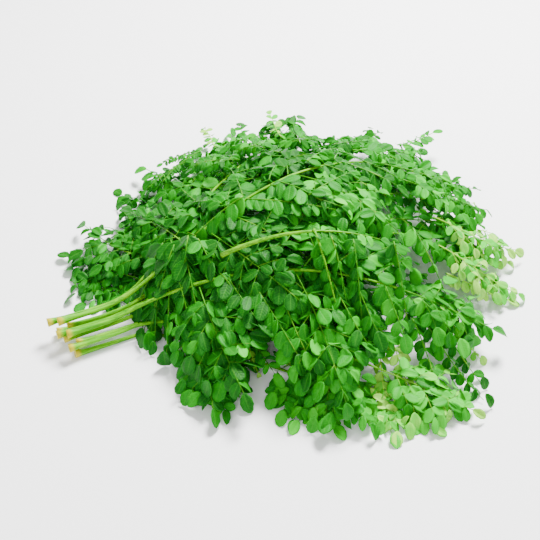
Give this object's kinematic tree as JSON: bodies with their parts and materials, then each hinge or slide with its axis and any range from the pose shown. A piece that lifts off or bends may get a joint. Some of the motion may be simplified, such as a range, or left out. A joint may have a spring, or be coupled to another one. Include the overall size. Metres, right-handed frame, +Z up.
{
  "type": "drumstick leaf bunch",
  "caption": "Bunch of cut drumstick (moringa) leaves lying flat: bare stalks gathered at one end, feathery sprays of small oval leaflets fanned over each other in a low heap.",
  "frame": {"origin": "on the surface that the bunch lies on, under the middle of its box", "axes": "+X runs from the gathered cut ends towards the leafy tips, +Y to the left of that across the fan, +Z up from the surface"},
  "size_m": [0.429, 0.4412, 0.1036],
  "materials": {
    "leaf": "thin fresh leaf, mid green above and paler below, soft satin",
    "young_leaf": "thin young leaf, light yellow-green, soft satin",
    "stalk": "smooth fresh green stalk, yellow-green with tan cut ends, satin"
  },
  "bodies": {
    "root": {"leaf_01_stalk": "stalk", "leaf_01_spray_lower_left": "leaf", "leaf_01_spray_lower_right": "leaf", "leaf_01_spray_upper_left": "leaf", "leaf_01_spray_upper_right": "leaf", "leaf_01_spray_tip": "young_leaf", "leaf_02_stalk": "stalk", "leaf_02_spray_lower_left": "leaf", "leaf_02_spray_lower_right": "leaf", "leaf_02_spray_upper_left": "leaf", "leaf_02_spray_upper_right": "leaf", "leaf_02_spray_tip": "young_leaf", "leaf_03_stalk": "stalk", "leaf_03_spray_lower_left": "leaf", "leaf_03_spray_lower_right": "leaf", "leaf_03_spray_upper_left": "leaf", "leaf_03_spray_upper_right": "leaf", "leaf_03_spray_tip": "young_leaf", "leaf_04_stalk": "stalk", "leaf_04_spray_lower_left": "leaf", "leaf_04_spray_lower_right": "leaf", "leaf_04_spray_upper_left": "leaf", "leaf_04_spray_upper_right": "leaf", "leaf_04_spray_tip": "young_leaf", "leaf_05_stalk": "stalk", "leaf_05_spray_lower_left": "leaf", "leaf_05_spray_lower_right": "leaf", "leaf_05_spray_upper_left": "leaf", "leaf_05_spray_upper_right": "leaf", "leaf_05_spray_tip": "young_leaf", "leaf_06_stalk": "stalk", "leaf_06_spray_lower_left": "leaf", "leaf_06_spray_lower_right": "leaf", "leaf_06_spray_upper_left": "leaf", "leaf_06_spray_upper_right": "leaf", "leaf_06_spray_tip": "young_leaf", "leaf_07_stalk": "stalk", "leaf_07_spray_lower_left": "leaf", "leaf_07_spray_lower_right": "leaf", "leaf_07_spray_upper_left": "leaf", "leaf_07_spray_upper_right": "leaf", "leaf_07_spray_tip": "young_leaf", "leaf_08_stalk": "stalk", "leaf_08_spray_lower_left": "leaf", "leaf_08_spray_lower_right": "leaf", "leaf_08_spray_upper_left": "leaf", "leaf_08_spray_upper_right": "leaf", "leaf_08_spray_tip": "young_leaf", "leaf_09_stalk": "stalk", "leaf_09_spray_lower_left": "leaf", "leaf_09_spray_lower_right": "leaf", "leaf_09_spray_upper_left": "leaf", "leaf_09_spray_upper_right": "leaf", "leaf_09_spray_tip": "young_leaf", "leaf_10_stalk": "stalk", "leaf_10_spray_lower_left": "leaf", "leaf_10_spray_lower_right": "leaf", "leaf_10_spray_upper_left": "leaf", "leaf_10_spray_upper_right": "leaf", "leaf_10_spray_tip": "young_leaf"}
  },
  "joints": []
}
